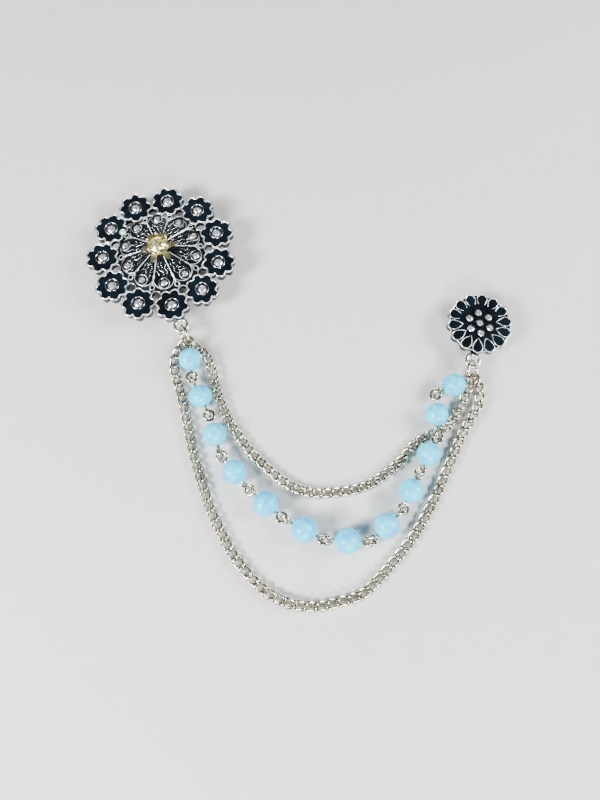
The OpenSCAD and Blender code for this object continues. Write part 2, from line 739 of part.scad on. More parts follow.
large_casting();
floret_enamel();
petal_enamel();
for (i = [1:floret_count]) floret_stone(i);
petal_stones();
cabochon();
centre_setting();
centre_stone();
large_pin_back();
small_casting();
small_enamel();
for (i = [1:7]) small_stone(i);
small_pin_back();
large_ring();
small_ring();
outer_chain();
inner_chain();
pearl_pins();
for (i = [1:pearl_count]) pearl(i);
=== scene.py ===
"""Lapel chain: the looks of two enamelled flower brooches, two curb chains and a pearl strand."""

import json
import logging
import math
import random
from dataclasses import dataclass, field
from enum import Enum
from typing import Any, Sequence

import bpy
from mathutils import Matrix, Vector


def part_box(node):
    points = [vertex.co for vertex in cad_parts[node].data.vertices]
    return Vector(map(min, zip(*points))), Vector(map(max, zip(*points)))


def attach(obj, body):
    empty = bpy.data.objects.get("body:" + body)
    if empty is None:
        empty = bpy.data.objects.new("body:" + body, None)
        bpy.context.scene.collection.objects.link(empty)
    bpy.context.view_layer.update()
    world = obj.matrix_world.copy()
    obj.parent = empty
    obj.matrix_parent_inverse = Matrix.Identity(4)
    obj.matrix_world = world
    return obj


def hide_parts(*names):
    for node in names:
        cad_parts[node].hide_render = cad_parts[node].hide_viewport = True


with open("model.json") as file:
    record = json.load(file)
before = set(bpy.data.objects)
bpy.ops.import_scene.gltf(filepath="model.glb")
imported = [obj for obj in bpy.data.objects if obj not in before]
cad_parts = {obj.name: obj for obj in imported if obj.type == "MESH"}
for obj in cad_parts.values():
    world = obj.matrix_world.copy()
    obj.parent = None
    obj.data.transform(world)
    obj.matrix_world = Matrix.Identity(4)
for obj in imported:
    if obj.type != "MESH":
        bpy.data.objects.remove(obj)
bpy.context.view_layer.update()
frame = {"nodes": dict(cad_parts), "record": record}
LOG = logging.getLogger("lapel_chain")
MM = 0.001
SEAM = 0.002 * MM
FLORET_COUNT = 11
PETAL_COUNT = 10
SPOKE_TURN = math.radians(9.3)
FLOWER_FOOT_R = 11.2 * MM


class Slot(Enum):
    """Material slots of the record."""

    CAST_SILVER = "cast_silver"
    CHAIN_SILVER = "chain_silver"
    PIN_METAL = "pin_metal"
    GOLD_CUP = "gold_cup"
    DARK_ENAMEL = "dark_enamel"
    CLEAR_STONE = "clear_stone"
    YELLOW_STONE = "yellow_stone"
    GREEN_STONE = "green_stone"
    PEARL = "pearl"


class Wave:
    """A number socket that takes part in plain arithmetic."""

    def __init__(self, shader: "Shader", socket: Any) -> None:
        """Wraps a socket of the shader's tree."""
        self.shader = shader
        self.socket = socket

    def _join(self, kind: str, first: Any, second: Any) -> "Wave":
        """Adds a Math node of two waves or numbers and returns its result."""
        return self.shader.wave("ShaderNodeMath", {"operation": kind}, {0: first, 1: second}, "Value")

    def __add__(self, other: Any) -> "Wave":
        """Returns the sum."""
        return self._join("ADD", self, other)

    __radd__ = __add__

    def __mul__(self, other: Any) -> "Wave":
        """Returns the product."""
        return self._join("MULTIPLY", self, other)

    __rmul__ = __mul__


class Shader:
    """One material's node tree."""

    def __init__(self, name: str) -> None:
        """Starts an empty tree with a Principled shader on its output.

        Args:
            name: the material's name.
        """
        self.material = bpy.data.materials.new(name)
        self.material.use_nodes = True
        self.tree = self.material.node_tree
        self.tree.nodes.clear()
        self.surface = self.node("ShaderNodeBsdfPrincipled", {}, {})
        output = self.node("ShaderNodeOutputMaterial", {}, {})
        self.tree.links.new(self.surface.outputs[0], output.inputs["Surface"])
        self.place = self.node("ShaderNodeTexCoord", {}, {}).outputs["Object"]

    def node(self, kind: str, settings: dict[str, Any], sockets: dict[Any, Any]) -> Any:
        """Adds a node.

        Args:
            kind: the node's type.
            settings: its properties, set before its sockets.
            sockets: values, sockets or waves by input name or number.

        Returns:
            The node.
        """
        made = self.tree.nodes.new(kind)
        for key, value in settings.items():
            setattr(made, key, value)
        for key, value in sockets.items():
            self.feed(made.inputs[key], value)
        return made

    def feed(self, socket: Any, value: Any) -> None:
        """Sets or links one input socket.

        Args:
            socket: the input.
            value: a number, a colour, a socket or a wave.
        """
        if isinstance(value, Wave):
            value = value.socket
        if isinstance(value, bpy.types.NodeSocket):
            self.tree.links.new(value, socket)
        elif isinstance(value, tuple) and len(value) == 3 and socket.type == "RGBA":
            socket.default_value = (*value, 1.0)
        else:
            socket.default_value = value

    def wave(self, kind: str, settings: dict[str, Any], sockets: dict[Any, Any], out: Any) -> Wave:
        """Adds a node and wraps one of its outputs."""
        return Wave(self, self.node(kind, settings, sockets).outputs[out])

    def noise(self, size: float, detail: float = 3.0, rough: float = 0.55) -> Wave:
        """Returns noise from 0 to 1: its grain in metres, its octaves and the fine ones' strength."""
        return self.wave("ShaderNodeTexNoise", {}, {"Vector": self.place, "Scale": 1.0 / size,
                                                    "Detail": detail, "Roughness": rough}, "Fac")

    def blend(self, factor: Any, first: Any, second: Any) -> Any:
        """Mixes two colours and returns the colour socket."""
        mix = self.node("ShaderNodeMix", {"data_type": "RGBA"}, {0: factor, 6: first, 7: second})
        return mix.outputs[2]

    def steps(self, value: Wave, low: float, high: float) -> Wave:
        """Stretches the part of a wave between low and high to 0 to 1."""
        return self.wave("ShaderNodeMapRange", {"clamp": True},
                         {"Value": value, "From Min": low, "From Max": high}, "Result")

    def bump(self, height: Wave, depth: float) -> None:
        """Feeds a bump of the given depth in metres to the shader's normal."""
        made = self.node("ShaderNodeBump", {}, {"Height": height, "Distance": depth, "Strength": 1.0})
        self.feed(self.surface.inputs["Normal"], made.outputs["Normal"])

    def set(self, **sockets: Any) -> None:
        """Sets the Principled shader's sockets, with _ for a space in their names."""
        for key, value in sockets.items():
            self.feed(self.surface.inputs[key.replace("_", " ")], value)


@dataclass(frozen=True)
class Metal:
    """A polished or cast metal with tarnish in patches."""

    name: str
    bright: tuple[float, float, float]
    dull: tuple[float, float, float]
    rough_low: float = 0.12
    rough_high: float = 0.34
    grain: float = 0.9 * MM
    dent: float = 0.012 * MM
    black_middle: tuple[float, float, float] | None = None
    black_r: float = 0.0
    black_edge: float = 0.4 * MM
    worn_edge: tuple[float, float, float] = (0.9, 0.87, 0.78)
    patch: float = 2.2 * MM
    patch_range: tuple[float, float] = (0.38, 0.7)
    tarnish: float = 0.8
    speck_share: float = 0.35
    speck_depth: float = 0.4

    def material(self) -> bpy.types.Material:
        """Builds the material, bright outside the blackened round where it has one.

        Returns:
            The material.
        """
        shader = Shader(self.name)
        patches = shader.steps(shader.noise(self.patch, detail=4.0), *self.patch_range)
        specks = shader.noise(self.grain * self.speck_share, rough=0.6)
        colour = shader.blend(patches * self.tarnish, self.bright, self.dull)
        if self.black_middle:
            away = shader.wave("ShaderNodeVectorMath", {"operation": "DISTANCE"},
                               {0: shader.place, 1: self.black_middle}, "Value")
            colour = shader.blend(shader.steps(away, self.black_r, self.black_r + self.black_edge),
                                  colour, self.worn_edge)
        shader.set(Base_Color=colour, Metallic=1.0,
                   Roughness=patches * (self.rough_high - self.rough_low) + self.rough_low)
        shader.bump(shader.noise(self.grain) + specks * self.speck_depth, self.dent)
        return shader.material


@dataclass(frozen=True)
class Enamel:
    """Glossy enamel that pools from navy to teal."""

    name: str = "dark enamel"
    deep: tuple[float, float, float] = (0.0002, 0.001, 0.003)
    teal: tuple[float, float, float] = (0.0004, 0.005, 0.009)
    pool: float = 3.5 * MM
    pool_range: tuple[float, float] = (0.4, 0.62)
    rough: float = 0.1
    rough_gain: float = 0.05
    ripple: float = 1.6 * MM
    dip: float = 0.05 * MM

    def material(self) -> bpy.types.Material:
        """Builds the material.

        Returns:
            The material.
        """
        shader = Shader(self.name)
        pools = shader.steps(shader.noise(self.pool), *self.pool_range)
        shader.set(Base_Color=shader.blend(pools, self.deep, self.teal), Metallic=0.0,
                   Roughness=pools * self.rough_gain + self.rough, Coat_Weight=0.7,
                   Coat_Roughness=0.06)
        shader.bump(shader.noise(self.ripple, detail=2.0), self.dip)
        return shader.material


@dataclass(frozen=True)
class CutStone:
    """A foil-backed cut stone, with painted glints: random light and shade patches in its colour
    stand in for facet reflections.
    """

    name: str
    light: tuple[float, float, float]
    shade: tuple[float, float, float]
    metallic: float = 0.55
    glint_grain: float = 0.45 * MM
    glint_range: tuple[float, float] = (0.46, 0.56)
    rough: float = 0.04
    rough_gain: float = 0.05
    facet: float = 0.7 * MM
    facet_depth: float = 0.16 * MM

    def material(self) -> bpy.types.Material:
        """Builds the material.

        Returns:
            The material.
        """
        shader = Shader(self.name)
        # Painted reflections: near-binary noise patches of the light and shade colours stand in for
        # lit and dark facets.
        painted_glints = shader.steps(shader.noise(self.glint_grain, detail=1.0), *self.glint_range)
        shader.set(Base_Color=shader.blend(painted_glints, self.light, self.shade), Metallic=self.metallic,
                   Roughness=painted_glints * self.rough_gain + self.rough, IOR=1.6, Coat_Weight=0.8,
                   Coat_Roughness=0.02)
        shader.bump(shader.noise(self.facet, detail=0.0), self.facet_depth)
        return shader.material


@dataclass(frozen=True)
class PearlCoat:
    """A satin pearl coat, pale sky blue with a lavender bloom."""

    name: str = "pearl coat"
    sky: tuple[float, float, float] = (0.0, 0.70, 0.90)
    bloom: tuple[float, float, float] = (0.02, 0.40, 0.86)
    cloud: float = 2.2 * MM
    cloud_range: tuple[float, float] = (0.4, 0.64)
    rough: float = 0.3
    rough_gain: float = 0.12
    grain: float = 0.5 * MM
    dent: float = 0.004 * MM

    def material(self) -> bpy.types.Material:
        """Builds the material.

        Returns:
            The material.
        """
        shader = Shader(self.name)
        clouds = shader.steps(shader.noise(self.cloud, detail=4.0, rough=0.6), *self.cloud_range)
        shader.set(Base_Color=shader.blend(clouds, self.sky, self.bloom), Metallic=0.0,
                   Roughness=clouds * self.rough_gain + self.rough, Coat_Weight=0.1,
                   Coat_Roughness=0.18, Specular_IOR_Level=0.4)
        shader.bump(shader.noise(self.grain, detail=2.0), self.dent)
        return shader.material


@dataclass(frozen=True)
class Board:
    """The plain pale floor."""

    name: str = "pale board"
    tone: tuple[float, float, float] = (0.60, 0.60, 0.59)
    shade: float = 0.96
    fibre: float = 6.0 * MM

    def material(self) -> bpy.types.Material:
        """Builds the material.

        Returns:
            The material.
        """
        shader = Shader(self.name)
        fibres = shader.noise(self.fibre)
        darker = tuple(self.shade * part for part in self.tone)
        shader.set(Base_Color=shader.blend(fibres, self.tone, darker), Roughness=0.85)
        return shader.material


class Dresser:
    """Holds one material for each slot, the rims' silver with a painted highlight and the castings'
    finishes, and puts them on pieces.
    """

    def __init__(self) -> None:
        """Builds every finish once."""
        self.finishes: dict[Slot, bpy.types.Material] = {
            Slot.CAST_SILVER: Metal(
                "cast silver", bright=(0.78, 0.82, 0.84), dull=(0.34, 0.38, 0.4),
                rough_low=0.14, rough_high=0.3, grain=0.6 * MM, dent=0.02 * MM).material(),
            Slot.CHAIN_SILVER: Metal(
                "chain silver", bright=(0.72, 0.68, 0.53), dull=(0.16, 0.145, 0.09),
                rough_low=0.12, rough_high=0.26, grain=0.7 * MM, dent=0.006 * MM).material(),
            Slot.PIN_METAL: Metal(
                "pin metal", bright=(0.72, 0.72, 0.7), dull=(0.5, 0.5, 0.48),
                rough_low=0.25, rough_high=0.4).material(),
            Slot.GOLD_CUP: Metal(
                "gold cup", bright=(0.98, 0.9, 0.56), dull=(0.5, 0.42, 0.18),
                rough_low=0.18, rough_high=0.34).material(),
            Slot.DARK_ENAMEL: Enamel().material(),
            Slot.CLEAR_STONE: CutStone(
                "clear stone", light=(0.98, 0.98, 0.99), shade=(0.3, 0.32, 0.36),
                metallic=0.72).material(),
            Slot.YELLOW_STONE: CutStone(
                "yellow stone", light=(0.92, 0.88, 0.48), shade=(0.26, 0.23, 0.05),
                metallic=0.7).material(),
            Slot.GREEN_STONE: CutStone(
                "green stone", light=(0.5, 0.78, 0.64), shade=(0.16, 0.42, 0.33),
                metallic=0.1).material(),
            Slot.PEARL: PearlCoat().material(),
        }
        # Painted highlight: a lighter copy of cast silver for the rims and lines, its pale colour
        # standing in for the light they catch.
        self.rim_silver_painted_highlight = Metal(
            "rim silver painted highlight", bright=(0.97, 1.0, 1.0), dull=(0.5, 0.56, 0.58),
            rough_low=0.24, rough_high=0.42, grain=0.6 * MM, dent=0.03 * MM).material()
        self.blackened = {
            node: Metal(
                f"blackened {node}", bright=(0.07, 0.08, 0.09), dull=(0.006, 0.008, 0.01),
                rough_low=0.2, rough_high=0.36, grain=0.6 * MM, dent=0.012 * MM,
                black_middle=tuple(middle(stone)), black_r=reach).material()
            for node, stone, reach in (("large_casting", "centre_stone", 19.6 * MM),
                                       ("small_casting", "small_stone_1", 8.3 * MM))}

    def dress(self, piece: bpy.types.Object, slot: Slot) -> None:
        """Puts a slot's finish on a piece."""
        self.coat(piece, self.finishes[slot], slot)

    def coat(self, piece: bpy.types.Object, finish: bpy.types.Material, slot: Slot) -> None:
        """Puts a finish of its own on a piece of a slot.

        Args:
            piece: the piece.
            finish: the material that it gets.
            slot: the slot of the piece; not used.
        """
        piece.data.materials.clear()
        piece.data.materials.append(finish)


def pick(*pieces: bpy.types.Object) -> None:
    """Selects only these objects and makes the first one active.

    Args:
        pieces: the objects.
    """
    if bpy.context.object and bpy.context.object.mode != "OBJECT":
        bpy.ops.object.mode_set(mode="OBJECT")
    bpy.ops.object.select_all(action="DESELECT")
    for piece in pieces:
        piece.select_set(True)
    bpy.context.view_layer.objects.active = pieces[0]


def copy_of(node: str, name: str) -> bpy.types.Object:
    """Copies a CAD node's mesh into a piece of its own and merges its loose triangles.

    Args:
        node: the CAD node.
        name: the new piece's name.

    Returns:
        The piece, with the node's form.
    """
    source = frame["nodes"][node]
    piece = bpy.data.objects.new(name, source.data.copy())
    bpy.context.scene.collection.objects.link(piece)
    pick(piece)
    bpy.ops.object.mode_set(mode="EDIT")
    bpy.ops.mesh.select_all(action="SELECT")
    bpy.ops.mesh.remove_doubles(threshold=SEAM)
    bpy.ops.object.mode_set(mode="OBJECT")
    return piece


@dataclass
class Chain:
    """A curb chain or the pearl strand's pins: the CAD wire drawn thicker and round."""

    node: str
    name: str
    dresser: Dresser
    wire_swell: float = 0.12 * MM
    rounding: int = 2
    lowest: float = 0.005 * MM

    def build(self) -> bpy.types.Object:
        """Swells and rounds the wire of every link or pin and dresses it.

        Returns:
            The chain or the pins as one piece.
        """
        piece = copy_of(self.node, self.name)
        bpy.ops.object.mode_set(mode="EDIT")
        bpy.ops.mesh.select_all(action="SELECT")
        bpy.ops.mesh.tris_convert_to_quads(face_threshold=math.pi, shape_threshold=math.pi)
        bpy.ops.transform.shrink_fatten(value=self.wire_swell)
        bpy.ops.object.mode_set(mode="OBJECT")
        if self.rounding:
            smooth = piece.modifiers.new("round wire", "SUBSURF")
            smooth.levels = self.rounding
            smooth.render_levels = self.rounding
            bpy.ops.object.modifier_apply(modifier=smooth.name)
        bpy.ops.object.shade_smooth()
        for vertex in piece.data.vertices:
            vertex.co.z = max(vertex.co.z, self.lowest)
        self.dresser.dress(piece, Slot.CHAIN_SILVER)
        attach(piece, "root")
        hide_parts(self.node)
        return piece


def middle(node: str) -> Vector:
    """Returns the middle of a CAD node's box."""
    low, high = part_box(node)
    return (Vector(low) + Vector(high)) / 2


def join(parts: Sequence[bpy.types.Object], name: str) -> bpy.types.Object:
    """Joins parts into one piece with its place in its mesh.

    Args:
        parts: the parts, each with its own mesh.
        name: the piece's name.

    Returns:
        The piece.
    """
    pick(*parts)
    bpy.ops.object.transform_apply(location=True, rotation=True, scale=True)
    bpy.ops.object.join()
    piece = bpy.context.object
    piece.name = name
    bpy.ops.object.shade_smooth()
    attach(piece, "root")
    return piece


def wire(points: Sequence[Vector], thick: float, closed: bool = False) -> bpy.types.Object:
    """Draws a round wire through points.

    Args:
        points: the points of its middle line.
        thick: its thickness.
        closed: whether its end meets its start.

    Returns:
        The wire as a mesh.
    """
    curve = bpy.data.curves.new("wire", "CURVE")
    curve.dimensions = "3D"
    curve.bevel_depth = thick / 2
    curve.bevel_resolution = 1
    curve.use_fill_caps = not closed
    line = curve.splines.new("POLY")
    line.points.add(len(points) - 1)
    line.use_cyclic_u = closed
    for place, point in zip(line.points, points):
        place.co = (*point, 1.0)
        place.radius = 1.0
    made = bpy.data.objects.new("wire", curve)
    bpy.context.scene.collection.objects.link(made)
    pick(made)
    bpy.ops.object.convert(target="MESH")
    return bpy.context.object


@dataclass
class StoneRings:
    """The bright wire ring round each stone of the florets, and inside it a dark ring of painted
    shadow in the gap round the stone.
    """

    dresser: Dresser
    stone_count: int = FLORET_COUNT
    ring_r: float = 1.62 * MM
    ring_wire: float = 0.26 * MM
    shadow_ring_r: float = 1.38 * MM
    shadow_ring_w: float = 0.24 * MM
    flatness: float = 0.35
    lift: float = 0.4 * MM
    round_steps: int = 32
    wire_sides: int = 8

    def _hoops(self, radius: float, thick: float, flat: float, name: str) -> bpy.types.Object:
        """Models one hoop and copies it to every floret stone.

        Args:
            radius: the hoop's middle radius.
            thick: its wire's thickness.
            flat: its height as a share of its thickness.
            name: the piece's name.

        Returns:
            All hoops as one piece.
        """
        height = middle("floret_stone_1").z + self.lift
        bpy.ops.object.select_all(action="DESELECT")
        bpy.ops.mesh.primitive_torus_add(major_radius=radius, minor_radius=thick / 2,
                                         major_segments=self.round_steps,
                                         minor_segments=self.wire_sides, location=(0, 0, 0))
        model = bpy.context.object
        model.scale.z = flat
        hoops = []
        for number in range(1, self.stone_count + 1):
            spot = middle(f"floret_stone_{number}")
            hoop = model.copy()
            hoop.data = model.data.copy()
            bpy.context.scene.collection.objects.link(hoop)
            hoop.location = (spot.x, spot.y, height)
            hoops.append(hoop)
        bpy.data.objects.remove(model)
        return join(hoops, name)

    def build(self) -> list[bpy.types.Object]:
        """Builds the bright rings and the dark rings of painted shadow.

        Returns:
            Both pieces.
        """
        bright = self._hoops(self.ring_r, self.ring_wire, 1.0, "floret_rings")
        self.dresser.dress(bright, Slot.CAST_SILVER)
        # Painted shadow: a flat dark enamel ring stands in for the shade in the gap between each
        # stone and its cup.
        dark = self._hoops(self.shadow_ring_r, self.shadow_ring_w, self.flatness, "floret_painted_shadows")
        self.dresser.dress(dark, Slot.DARK_ENAMEL)
        return [bright, dark]


@dataclass
class PetalVeins:
    """Fine raised veins that branch across the petals of the middle flower."""

    dresser: Dresser
    petal_count: int = PETAL_COUNT
    spoke_turn: float = SPOKE_TURN
    start_r: float = 3.4 * MM
    end_r: float = 10.3 * MM
    thick: float = 0.15 * MM
    lift: float = 0.06 * MM
    swing: float = 0.24 * MM
    swing_start: float = 0.4
    lanes: tuple[float, ...] = (-0.52, -0.04, 0.46)
    start_spread: float = 1.4 * MM
    end_spread: tuple[float, float] = (0.6 * MM, 3.2 * MM)
    side_short: float = 1.2 * MM
    waves: float = 13.0
    flower_rise: float = 2.44 * MM
    flower_top_r: float = 3.2 * MM
    flower_foot_r: float = FLOWER_FOOT_R
    fork_turn: float = 0.7
    curl_bend: float = 0.35
    curl_step: float = 0.28 * MM
    curl_points: int = 5
    steps: int = 14
    seed: int = 7

    def build(self) -> bpy.types.Object:
        """Draws the veins of every petal as wires that lie on the enamel.

        Returns:
            All veins as one piece.
        """
        rng = random.Random(self.seed)
        mid = middle("centre_stone")
        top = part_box("petal_enamel")[1][2]
        foot = top - self.flower_rise
        wires = []
        for petal in range(self.petal_count):
            centre = self.spoke_turn + (petal + 0.5) * math.tau / self.petal_count
            for lane in self.lanes:
                start = self.start_r + rng.uniform(0.0, self.start_spread)
                end = self.end_r - rng.uniform(*self.end_spread) - abs(lane) * self.side_short
                phase = rng.uniform(0.0, math.tau)
                points = []
                for step in range(self.steps + 1):
                    share = step / self.steps
                    radius = start + (end - start) * share
                    wobble = (self.swing * math.sin(phase + share * self.waves)
                              * (self.swing_start + share))
                    turn = centre + lane * math.pi / self.petal_count + wobble / radius
                    slope = (top - foot) * (1 - (radius - self.flower_top_r)
                                            / (self.flower_foot_r - self.flower_top_r))
                    points.append(Vector((mid.x + radius * math.cos(turn),
                                          mid.y + radius * math.sin(turn),
                                          foot + slope + self.lift)))
                wires.append(wire(points, self.thick))
                fork = points[self.steps // 2]
                away = (math.atan2(fork.y - mid.y, fork.x - mid.x)
                        + rng.choice((-self.fork_turn, self.fork_turn)))
                bends = [away + self.curl_bend * part for part in range(self.curl_points)]
                curl = [fork + Vector((math.cos(bend), math.sin(bend), 0.0)) * (self.curl_step * part)
                        for part, bend in enumerate(bends)]
                wires.append(wire(curl, self.thick))
        piece = join(wires, "petal_veins")
        self.dresser.dress(piece, Slot.CAST_SILVER)
        return piece


def glaze(outline: Sequence[Vector], hole: Sequence[Vector], thick: float) -> bpy.types.Object:
    """Fills the flat between an outline and a hole with a thin sheet.

    Args:
        outline: the outer edge's points.
        hole: the inner edge's points.
        thick: half of the sheet's thickness.

    Returns:
        The sheet as a mesh.
    """
    curve = bpy.data.curves.new("glaze", "CURVE")
    curve.dimensions = "2D"
    curve.fill_mode = "BOTH"
    curve.extrude = thick
    for edge in (outline, hole):
        line = curve.splines.new("POLY")
        line.points.add(len(edge) - 1)
        line.use_cyclic_u = True
        for place, point in zip(line.points, edge):
            place.co = (point.x, point.y, 0.0, 1.0)
    made = bpy.data.objects.new("glaze", curve)
    made.location.z = outline[0].z
    bpy.context.scene.collection.objects.link(made)
    pick(made)
    bpy.ops.object.convert(target="MESH")
    return bpy.context.object


def scallop_reach(turn: float, count: int, ring_r: float, lobe_r: float, core_r: float) -> float:
    """Finds how far a scalloped outline reaches in one direction.

    Args:
        turn: the direction, from the middle of a scallop.
        count: the number of scallops.
        ring_r: the distance of their centres from the middle.
        lobe_r: their radius.
        core_r: the round middle's radius.

    Returns:
        The outline's distance from the middle.
    """
    step = math.tau / count
    off = (turn + step / 2) % step - step / 2
    under = lobe_r ** 2 - (ring_r * math.sin(off)) ** 2
    return max(core_r, ring_r * math.cos(off) + math.sqrt(under)) if under > 0 else core_r


def full_turn(count: int) -> list[float]:
    """Returns evenly spaced directions round a full turn."""
    return [part * math.tau / count for part in range(count)]


@dataclass
class FloretRims:
    """The raised rim, silver painted bright as a highlight, that runs round the scallops of each
    floret, and its enamel's skin.
    """

    dresser: Dresser
    stone_count: int = FLORET_COUNT
    lobes: int = 8
    lobe_ring_r: float = 3.1 * MM
    lobe_r: float = 1.25 * MM
    core_r: float = 3.6 * MM
    inset: float = 0.23 * MM
    thick: float = 0.46 * MM
    top_z: float = 5.19 * MM
    waver: float = 0.07 * MM
    beats: tuple[float, ...] = (5.0, 11.0, 19.0)
    steps: int = 112
    seed: int = 3
    cup_r: float = 1.72 * MM
    cup_steps: int = 32
    glaze_inset: float = 0.16 * MM
    glaze_z: float = 5.225 * MM
    glaze_thick: float = 0.012 * MM
    hole_ring_r: float = 12.2 * MM
    hole_r: float = 1.27 * MM
    hole_thick: float = 0.24 * MM
    hole_steps: int = 24

    def _hole_hoop(self, mid: Vector, spot: Vector, after: Vector) -> bpy.types.Object:
        """Draws the wire hoop round the pierced hole between two florets.

        Args:
            mid: the brooch's middle.
            spot: one floret's middle.
            after: the next floret's middle.

        Returns:
            The hoop.
        """
        way = (spot + after) / 2 - mid
        place = mid + Vector((way.x, way.y, 0.0)).normalized() * self.hole_ring_r
        return wire([Vector((place.x + self.hole_r * math.cos(turn),
                             place.y + self.hole_r * math.sin(turn), self.top_z))
                     for turn in full_turn(self.hole_steps)], self.hole_thick, True)

    def build(self) -> list[bpy.types.Object]:
        """Draws a closed wavy wire round every floret, with enamel drawn up to it.

        Returns:
            The rims and the enamel's upper skin.
        """
        rng = random.Random(self.seed)
        mid = middle("centre_stone")
        wires, skins = [], []
        for number in range(1, self.stone_count + 1):
            spot = middle(f"floret_stone_{number}")
            out = math.atan2(spot.y - mid.y, spot.x - mid.x)
            phases = [rng.uniform(0.0, math.tau) for _ in self.beats]
            points = []
            for turn in full_turn(self.steps):
                reach = scallop_reach(turn - math.pi / self.lobes, self.lobes, self.lobe_ring_r,
                                      self.lobe_r, self.core_r) - self.inset
                reach += self.waver * sum(math.sin(phase + turn * beat)
                                          for phase, beat in zip(phases, self.beats)) / 2
                points.append(Vector((spot.x + reach * math.cos(out + turn),
                                      spot.y + reach * math.sin(out + turn), self.top_z)))
            wires.append(wire(points, self.thick, True))
            centre = Vector((spot.x, spot.y, self.top_z))
            edge = [point - (point - centre).normalized() * self.glaze_inset for point in points]
            cup = [centre + Vector((self.cup_r * math.cos(turn), self.cup_r * math.sin(turn), 0.0))
                   for turn in full_turn(self.cup_steps)]
            edge[0].z = self.glaze_z
            skins.append(glaze(edge, cup, self.glaze_thick))
            after = middle(f"floret_stone_{number % self.stone_count + 1}")
            wires.append(self._hole_hoop(mid, spot, after))
        rims, skin = join(wires, "floret_rims"), join(skins, "floret_skin")
        self.dresser.coat(rims, self.dresser.rim_silver_painted_highlight, Slot.CAST_SILVER)
        self.dresser.dress(skin, Slot.DARK_ENAMEL)
        return [rims, skin]


@dataclass
class PetalLines:
    """Straight spokes, scrolls at the petal tips and hoops round the petal stones."""

    dresser: Dresser
    petal_count: int = PETAL_COUNT
    spoke_turn: float = SPOKE_TURN
    foot_r: float = FLOWER_FOOT_R
    top_r: float = 2.6 * MM
    foot_z: float = 5.2 * MM
    rise: float = 2.6 * MM
    spoke_start_r: float = 2.9 * MM
    spoke_end_r: float = 9.6 * MM
    spoke_thick: float = 0.26 * MM
    spoke_steps: int = 8
    tip_ring_r: float = 7.9 * MM
    tip_r: float = 2.62 * MM
    tip_bow: float = math.radians(112)
    tip_steps: int = 16
    tip_thick: float = 0.2 * MM
    stone_ring_r: float = 9.2 * MM
    stone_lift: float = 0.12 * MM
    hoop_r: float = 1.3 * MM
    hoop_steps: int = 24
    hoop_thick: float = 0.2 * MM
    eye_ring_r: float = 10.2 * MM
    eye_r: float = 0.6 * MM
    eye_steps: int = 12

    def _at(self, turn: float, radius: float, side: float, lift: float) -> Vector:
        """Finds a point on the middle flower.

        Args:
            turn: direction of the petal or spoke.
            radius: distance along it.
            side: distance to its left.
            lift: height over the cast lines.

        Returns:
            The point.
        """
        mid = middle("centre_stone")
        away = math.hypot(radius, side)
        share = min(1.0, max(0.0, (self.foot_r - away) / (self.foot_r - self.top_r)))
        return Vector((mid.x + radius * math.cos(turn) - side * math.sin(turn),
                       mid.y + radius * math.sin(turn) + side * math.cos(turn),
                       self.foot_z + self.rise * share + lift))

    def _bow(self, turn: float, ring_r: float, bow_r: float, bows: Sequence[float],
             lift: float = 0.0) -> list[Vector]:
        """Returns the points of an arc on the flower, in the directions bows from its centre."""
        return [self._at(turn, ring_r + bow_r * math.cos(bow), bow_r * math.sin(bow), lift)
                for bow in bows]

    def build(self) -> bpy.types.Object:
        """Draws the lines of all petals.

        Returns:
            All lines as one piece.
        """
        length = self.spoke_end_r - self.spoke_start_r
        tip = [self.tip_bow * (2 * part / self.tip_steps - 1) for part in range(self.tip_steps + 1)]
        hoop = full_turn(self.hoop_steps)
        eye = full_turn(self.eye_steps)
        wires = []
        for number in range(self.petal_count):
            turn = self.spoke_turn + number * math.tau / self.petal_count
            petal = turn + math.pi / self.petal_count
            wires.append(wire([self._at(turn, self.spoke_start_r + length * part / self.spoke_steps,
                                        0.0, 0.0) for part in range(self.spoke_steps + 1)],
                              self.spoke_thick))
            wires.append(wire(self._bow(petal, self.tip_ring_r, self.tip_r, tip), self.tip_thick))
            wires.append(wire(self._bow(petal, self.stone_ring_r, self.hoop_r, hoop, self.stone_lift),
                              self.hoop_thick, True))
            wires.append(wire(self._bow(turn, self.eye_ring_r, self.eye_r, eye),
                              self.hoop_thick, True))
        piece = join(wires, "petal_lines")
        # The lines get the cast silver copy with a painted highlight.
        self.dresser.coat(piece, self.dresser.rim_silver_painted_highlight, Slot.CAST_SILVER)
        return piece


